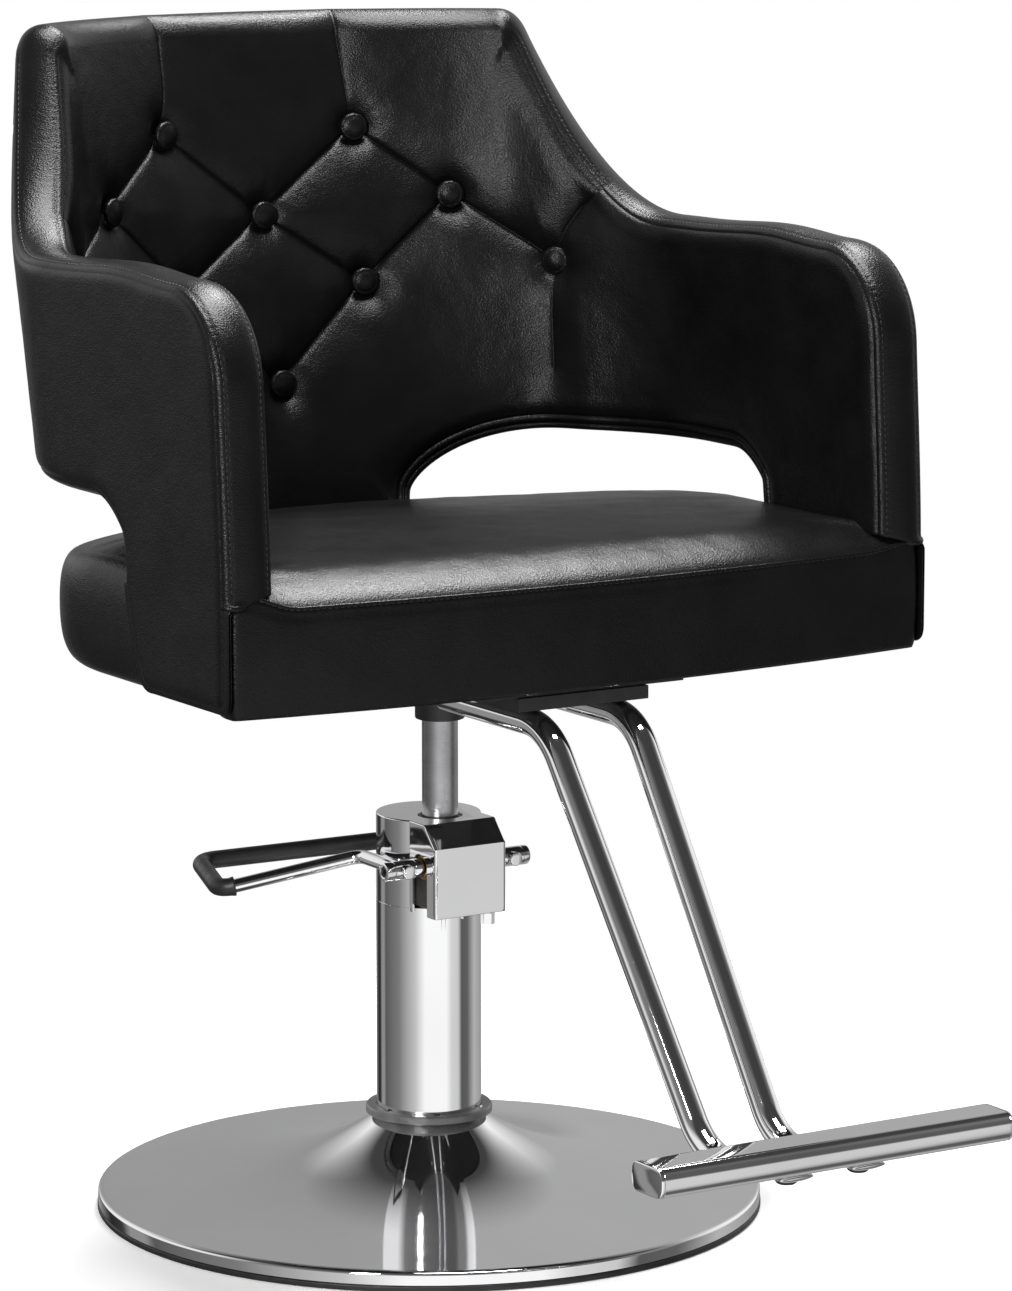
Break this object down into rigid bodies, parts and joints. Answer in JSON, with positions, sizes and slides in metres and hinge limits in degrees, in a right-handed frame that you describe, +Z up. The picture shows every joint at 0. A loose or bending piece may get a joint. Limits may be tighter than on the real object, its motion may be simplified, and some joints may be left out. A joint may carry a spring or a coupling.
{
  "type": "hydraulic styling chair",
  "caption": "Salon styling chair: tufted wraparound shell with padded arms and seat, height-adjusting swivel column with foot pump, round base and fixed footrest.",
  "frame": {"origin": "on the floor, at the middle of the round base's underside", "axes": "+Z up along the column, -Y the way the sitter faces and the footrest points, +X to the right seen from the front"},
  "size_m": [0.65, 0.9352, 0.9687],
  "materials": {
    "chrome": "polished",
    "satin_steel": "satin",
    "machined_steel": "satin",
    "black_paint": "satin",
    "cast_iron": "matte",
    "black_rubber": "matte",
    "grey_plastic": "satin",
    "bronze": "satin",
    "leatherette": "gloss",
    "plywood": "matte"
  },
  "bodies": {
    "base": {"base_cover": "chrome", "base_plate": "black_paint", "base_edge_ring": "black_rubber", "column_flange": "machined_steel", "flange_bolt_1": "machined_steel", "flange_bolt_2": "machined_steel", "flange_bolt_3": "machined_steel", "column_tube": "chrome", "column_clamp_ring": "grey_plastic", "pump_cylinder": "machined_steel", "pump_head_cover": "chrome", "pump_head_body": "cast_iron", "shaft_bush_left": "bronze", "shaft_bush_right": "bronze", "ram_guide_bush": "bronze", "ram_wiper_seal": "black_rubber", "release_valve": "machined_steel"},
    "lift": {"ram_piston": "machined_steel", "piston_seal": "black_rubber"},
    "seat": {"ram": "satin_steel", "seat_hub": "black_paint", "seat_plate": "black_paint", "plate_bolt_1": "machined_steel", "plate_bolt_2": "machined_steel", "plate_bolt_3": "machined_steel", "plate_bolt_4": "machined_steel", "seat_board": "plywood", "seat_cushion": "leatherette", "seat_dust_cover": "black_paint", "shell_frame": "plywood", "shell_outer_cover": "leatherette", "back_pad": "leatherette", "arm_pad_left": "leatherette", "arm_pad_right": "leatherette", "shell_edge_band": "leatherette", "tuft_button_01": "leatherette", "tuft_button_02": "leatherette", "tuft_button_03": "leatherette", "tuft_button_04": "leatherette", "tuft_button_05": "leatherette", "tuft_button_06": "leatherette", "tuft_button_07": "leatherette", "tuft_button_08": "leatherette", "tuft_button_09": "leatherette", "tuft_button_10": "leatherette", "footrest_mount": "black_paint", "footrest_tube_left": "chrome", "footrest_tube_right": "chrome", "footrest_bar": "chrome", "bar_end_cap_left": "chrome", "bar_end_cap_right": "chrome", "bar_screw_left": "black_paint", "bar_screw_right": "black_paint"},
    "pedal": {"cross_shaft": "chrome", "set_screw_left": "machined_steel", "set_screw_right": "machined_steel", "cam_finger": "machined_steel", "pedal_rod": "chrome", "pedal_sleeve": "black_rubber"},
    "plunger": {"pump_plunger": "machined_steel"}
  },
  "joints": [
    {"name": "seat_height", "type": "slide", "parent": "base", "child": "lift", "axis": [0, 0, 1], "range_m": [-0.06, 0.07]},
    {"name": "seat_swivel", "type": "hinge", "parent": "lift", "child": "seat", "pos_m": [0, -0.0187, 0.3], "axis": [0, 0, 1], "continuous": true},
    {"name": "pump_pedal", "type": "hinge", "parent": "base", "child": "pedal", "pos_m": [0, -0.0426, 0.2933], "axis": [1, 0, 0], "range_deg": [-25, 10], "stiffness_Nm_per_rad": 10, "springref_deg": 3.44},
    {"name": "pump_stroke", "type": "slide", "parent": "base", "child": "plunger", "axis": [0, 0, 1], "range_m": [-0.0025, 0.006]}
  ],
  "couplings": [
    {"joint": "pump_stroke", "follows": "pump_pedal", "m_per_rad": -0.0134}
  ]
}
